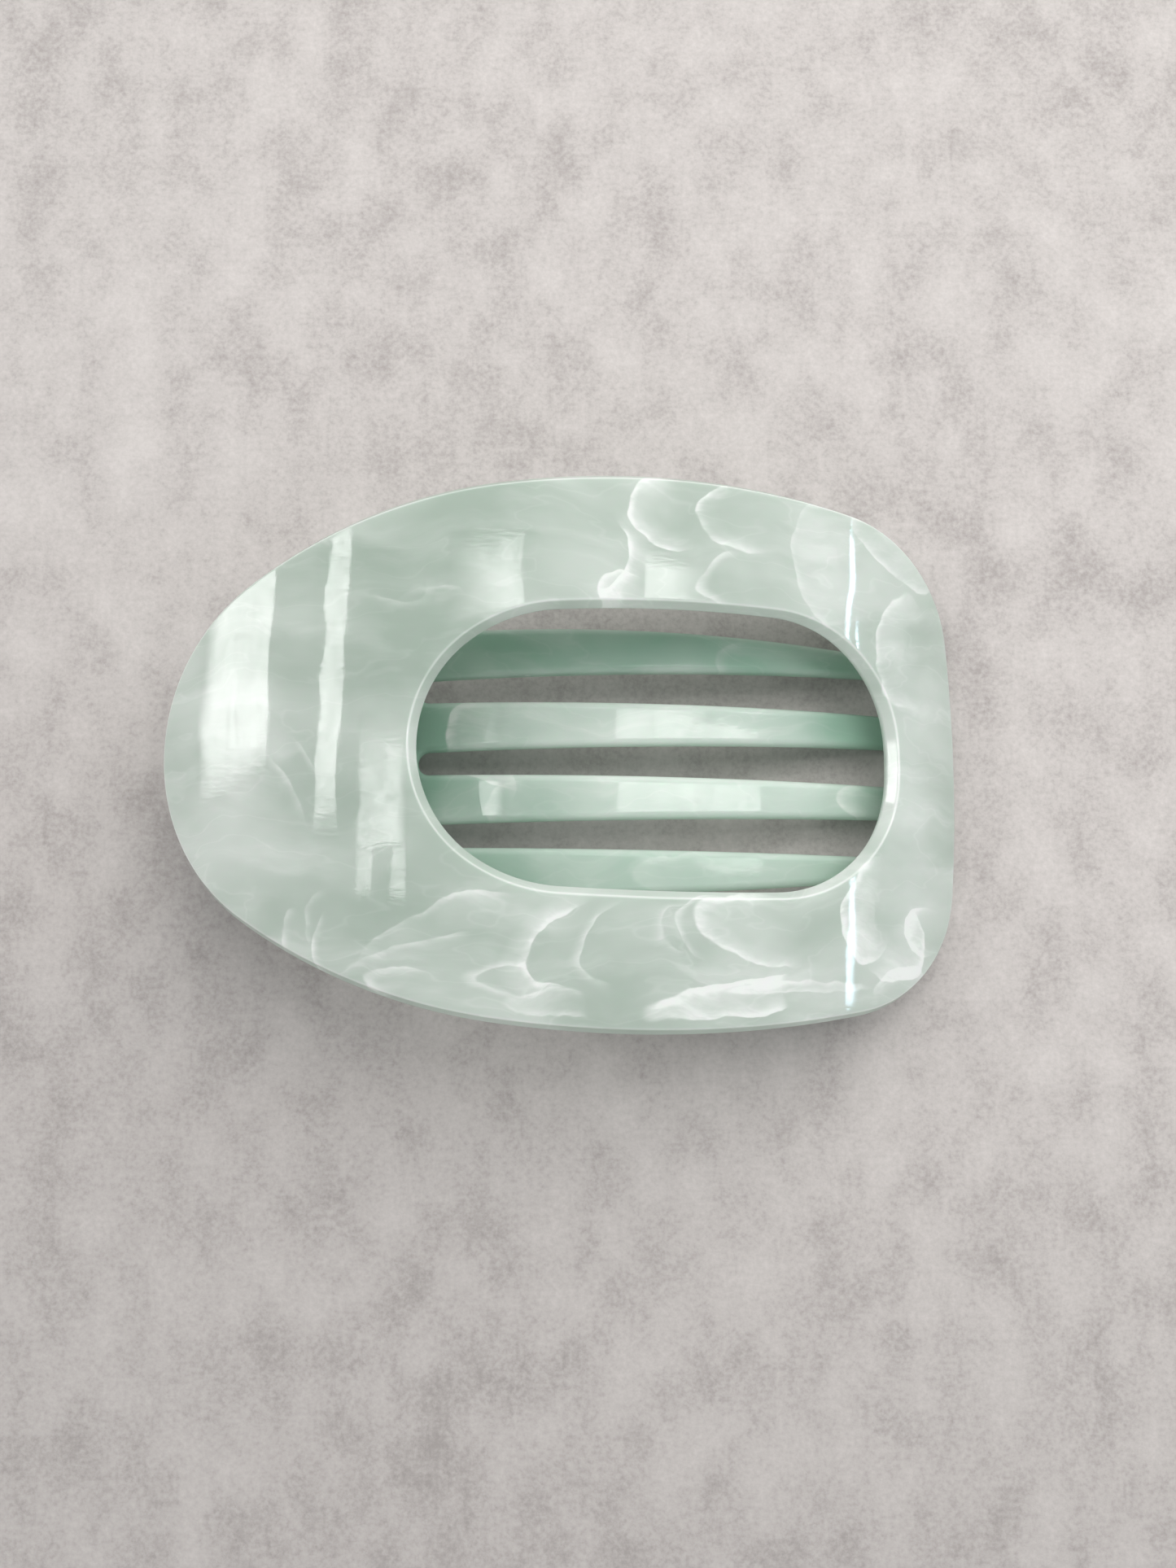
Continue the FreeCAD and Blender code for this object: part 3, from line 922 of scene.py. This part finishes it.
def card_material(name, brightness, fade_x, fade_y, tint):
    """Streaky light that fades in from a card's sides, by the card's own 0 to 1 coordinates."""
    graph = Graph(name)
    coordinates = graph.add("ShaderNodeTexCoord").outputs["UV"]
    parts = graph.add("ShaderNodeSeparateXYZ", {0: coordinates})
    place = graph.add("ShaderNodeTexCoord").outputs["Object"]
    folds = graph.noise(graph.vector("MULTIPLY", place, (0.12, 1.0, 1.0)), 75.0, 3.0, 0.65)
    value = graph.span(folds.outputs["Fac"], 0.35, 0.62, 0.45 * brightness, 1.3 * brightness)
    for axis, fades in ((0, fade_x), (1, fade_y)):
        if fades[0]:
            value = graph.math("MULTIPLY", value, graph.span(parts.outputs[axis], 0.0, fades[0]))
        if fades[1]:
            value = graph.math("MULTIPLY", value, graph.span(parts.outputs[axis], 1.0, 1.0 - fades[1]))
    glow = graph.add("ShaderNodeEmission", {"Color": (*tint, 1.0), "Strength": value})
    graph.tree.links.new(glow.outputs[0], graph.output.inputs[0])
    return graph.material


def add_card(name, span_x, span_y, brightness, fade_x, fade_y, lean):
    left, right = span_x
    low, high = span_y
    corners = [(left, low), (left + lean, high), (right + lean, high), (right, low)]
    mesh = bpy.data.meshes.new(name)
    places = [[CARD_HEIGHT * math.tan(math.radians(a)) for a in corner] for corner in corners]
    mesh.from_pydata([(x, y, CARD_HEIGHT) for x, y in places], [], [(0, 1, 2, 3)])
    shares = mesh.uv_layers.new(name="share")
    for corner, share in zip(shares.data, ((0, 0), (0, 1), (1, 1), (1, 0))):
        corner.uv = share
    card = bpy.data.objects.new(name, mesh)
    bpy.context.scene.collection.objects.link(card)
    tint = (0.62, 0.84, 1.0) if "lip" in name else (1.0, 1.0, 0.99)
    mesh.materials.append(card_material(name + "_glow", brightness, fade_x, fade_y, tint))
    card.visible_camera = False
    card.visible_shadow = False


def add_soft_light(name, place, size, power, tint):
    """A large area light that aims at the clip and isn't itself mirrored in it."""
    light = bpy.data.lights.new(name, "AREA")
    light.shape = "DISK"
    light.size = size
    light.energy = power
    light.color = tint
    lamp = bpy.data.objects.new(name, light)
    lamp.location = place
    lamp.rotation_euler = (-Vector(place)).to_track_quat("-Z", "Y").to_euler()
    lamp.visible_glossy = False
    bpy.context.scene.collection.objects.link(lamp)


def add_world():
    world = bpy.data.worlds.new("soft_room")
    bpy.context.scene.world = world
    world.use_nodes = True
    background = world.node_tree.nodes["Background"]
    background.inputs["Color"].default_value = (0.97, 0.98, 1.0, 1.0)
    background.inputs["Strength"].default_value = ROOM_BRIGHTNESS


def add_camera():
    camera = bpy.data.cameras.new("camera")
    camera.lens = CAMERA_LENS
    camera.sensor_width = SENSOR
    camera.sensor_fit = "AUTO"
    camera.clip_start = 0.01
    camera.clip_end = 50
    view = bpy.data.objects.new("camera", camera)
    view.location = Vector(CAMERA_PLACE) * MM
    view.rotation_euler = (CAMERA_TILT, 0, CAMERA_ROLL)
    bpy.context.scene.collection.objects.link(view)
    bpy.context.scene.camera = view


def add_floor():
    mesh = bpy.data.meshes.new("floor")
    half = FLOOR_HALF
    corners = [(-half, -half, 0), (half, -half, 0), (half, half, 0), (-half, half, 0)]
    mesh.from_pydata(corners, [], [(0, 1, 2, 3)])
    floor = bpy.data.objects.new("floor", mesh)
    bpy.context.scene.collection.objects.link(floor)
    mesh.materials.append(floor_material())


# ---------------------------------------------------------------- the scene

# White swirls: centre, radii, turn, where the white fades to, facing, half angle, strength
FAR_BAND_SWIRLS = [
    ((12.7, 31.0), (5.5, 4.8), 0, 0.35, 185, 130, 0.65),
    ((2.0, 25.0), (5.2, 5.7), 0, 1.7, -15, 75, 0.65),
    ((7.0, 19.8), (4.2, 3.0), 0, -0.5, 160, 130, 0.50),
    ((22.8, 31.5), (6.9, 5.3), 8, 0.62, 200, 110, 0.60),
    ((21.3, 22.5), (4.8, 3.7), 0, 0.75, 180, 85, 0.45),
    ((35.5, 27.2), (6.7, 9.7), -5, -0.6, 190, 120, 0.30),
    ((44.5, 30.4), (8.0, 4.3), -42, -0.5, -130, 120, 0.42),
    ((45.5, 15.4), (4.2, 8.4), 0, -0.8, 180, 120, 0.50),
]
NEAR_BAND_SWIRLS = [
    ((27.5, -23.0), (13.0, 4.8), -8, 0.6, 195, 105, 0.65),
    ((18.0, -22.7), (5.7, 4.4), 0, 0.85, 170, 90, 0.40),
    ((2.2, -24.8), (7.7, 5.2), 20, 1.5, 175, 95, 0.65),
    ((7.2, -24.4), (5.8, 4.0), 25, 1.3, 175, 80, 0.50),
    ((15.0, -23.0), (4.6, 3.2), 10, 1.12, 175, 80, 0.30),
    ((-5.5, -29.2), (5.8, 1.8), -4, 1.4, 160, 100, 0.40),
    ((2.3, -32.5), (10.6, 1.8), -3, -0.2, 180, 100, 0.40),
    ((27.0, -31.2), (18.0, 2.4), 5, -0.2, 180, 120, 0.80),
    ((29.3, -30.4), (9.7, 0.8), 2, -0.5, 180, 180, 0.40),
    ((39.6, -20.4), (4.4, 7.0), -22, -0.6, 190, 125, 0.95),
    ((42.5, -23.0), (5.5, 7.0), 35, 0.0, -40, 90, 0.70),
    ((48.5, -22.5), (3.6, 3.4), 15, 0.3, 180, 130, 0.80),
    ((44.0, -29.8), (4.3, 2.4), 25, -0.3, 110, 110, 0.45),
]
HANDLE_SWIRLS = [
    ((-10.3, -27.4), (17.0, 9.2), 10, 0.7, 125, 60, 0.45),
    ((-14.3, -29.9), (17.0, 7.2), 12, 0.75, 125, 55, 0.35),
    ((-27.2, -23.9), (4.8, 5.6), 0, 0.72, 190, 60, 0.45),
    ((-28.8, -21.7), (4.8, 4.4), 0, 0.75, 170, 55, 0.30),
    ((-32.2, -23.7), (4.6, 4.6), 0, 0.75, 165, 50, 0.30),
    ((-19.5, -30.0), (6.0, 2.2), -12, -0.2, 130, 100, 0.45),
    ((-38.0, -5.8), (8.3, 3.0), -52, 0.5, 35, 75, 0.40),
    ((-35.3, -1.8), (5.5, 1.8), -50, 0.5, 35, 75, 0.25),
    ((-17.8, 18.4), (4.6, 2.5), 0, 0.7, 90, 95, 0.35),
    ((-24.2, 22.5), (6.0, 3.7), -20, 1.4, -60, 60, 0.25),
]
# Broad patches of lighter and darker plastic: centre, radii, strength. The dark one on the handle's far side
# is a painted dark reflection, and the pale one at the nose is painted light; the others lighten the bands'
# right halves and the lip end, and darken the handle's near side and the far band by the crest.
SHELL_TONE_AND_PAINTED_LIGHT = [
    ((-22.0, 19.0), (13.0, 15.0), -0.30),
    ((-8.0, 28.0), (14.0, 10.0), -0.12),
    ((-46.0, -3.0), (14.0, 22.0), 0.18),
    ((33.0, 27.0), (16.0, 10.0), 0.22),
    ((48.0, -2.0), (7.0, 26.0), 0.22),
    ((27.0, -29.0), (22.0, 8.0), 0.18),
    ((-16.0, -22.0), (12.0, 9.0), -0.10),
]
# Broad patches on the comb: centre, radii, strength. The pale middle and the darker ends are partly the
# plastic's own tone and partly painted shade where the shell overhangs the comb; the dark strip along the far
# tine is painted shade from the shell's far band.
COMB_TONE_AND_PAINTED_SHADE = [
    ((11.0, 1.0), (34.0, 14.0), 0.60),
    ((-23.0, 3.0), (7.0, 14.0), -0.30),
    ((41.0, 3.0), (8.0, 12.0), -0.30),
    ((10.0, 15.0), (40.0, 4.5), -0.35),
]
COMB_SWIRLS = [
    ((-0.6, 3.3), (17.6, 8.8), 0, 0.2, 165, 70, 0.90),
    ((-13.3, -4.3), (6.1, 4.2), 30, 0.5, 60, 90, 0.45),
    ((-6.0, -6.7), (6.6, 3.7), 0, 0.5, 170, 80, 0.40),
    ((40.8, -4.9), (4.6, 3.1), 0, 0.4, 180, 110, 0.55),
    ((25.2, 13.8), (6.0, 3.6), 0, 0.7, 190, 80, 0.25),
    ((21.4, -15.4), (13.2, 3.8), 0, 0.5, 180, 90, 0.25),
]


def main():
    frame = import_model()
    scene = bpy.context.scene
    scene.view_settings.view_transform = "Standard"
    add_camera()
    add_floor()
    add_world()
    for card in CARDS:
        add_card(*card)
    add_soft_light("window", LAMP_PLACE, LAMP_SIZE, LAMP_POWER, (1.0, 0.985, 0.965))

    shell = with_ears(
        "shell", shell_mesh(), lambda x: shell_height(x)[0], -1, SHELL_EARS, PIN_RADIUS
    )
    shell_look = marbled_plastic(
        "marbled_shell",
        FAR_BAND_SWIRLS + NEAR_BAND_SWIRLS + HANDLE_SWIRLS,
        SHELL_TONE_AND_PAINTED_LIGHT,
        dark=(0.375, 0.445, 0.39),
        mint=(0.535, 0.588, 0.543),
        pale=(0.90, 0.905, 0.895),
        through=(0.84, 0.92, 0.86),
        streak_turn=math.radians(20),
        gloss_marks=2.0,
        painted_rim_highlight=0.38,
    )
    shell.data.materials.append(shell_look)
    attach(shell, "upper")
    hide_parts("upper_jaw")

    comb = with_ears(
        "comb", comb_mesh(), lambda x: comb_surface(x, 0)[0].z, 1, COMB_EARS, PIN_RADIUS + RUNNING_CLEARANCE
    )
    # The comb's colours are darker and greener than the shell's: partly its own tone and partly painted
    # shade, as it lies under the shell and gets its light through the green plastic.
    comb_look = marbled_plastic(
        "marbled_comb",
        COMB_SWIRLS,
        COMB_TONE_AND_PAINTED_SHADE,
        dark=(0.30, 0.46, 0.37),
        mint=(0.49, 0.585, 0.525),
        pale=(0.78, 0.81, 0.775),
        through=(0.70, 0.90, 0.78),
        streak_turn=math.radians(10),
        gloss_marks=1.2,
        painted_rim_highlight=0.12,
    )
    comb.data.materials.append(comb_look)
    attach(comb, "lower")
    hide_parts("lower_jaw")

    spring = mesh_object("spring", *tube_mesh(spring_path(), WIRE_RADIUS))
    spring.data.materials.append(brushed_steel("drawn_wire", 2.0, (1.0, 6.0, 1.0)))
    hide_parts("torsion_spring")
    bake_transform(spring)

    pin_look = brushed_steel("ground_pin", 3.0, (1.0, 0.2, 1.0))
    for slot in frame["nodes"]["hinge_pin"].material_slots:
        slot.material = pin_look


main()
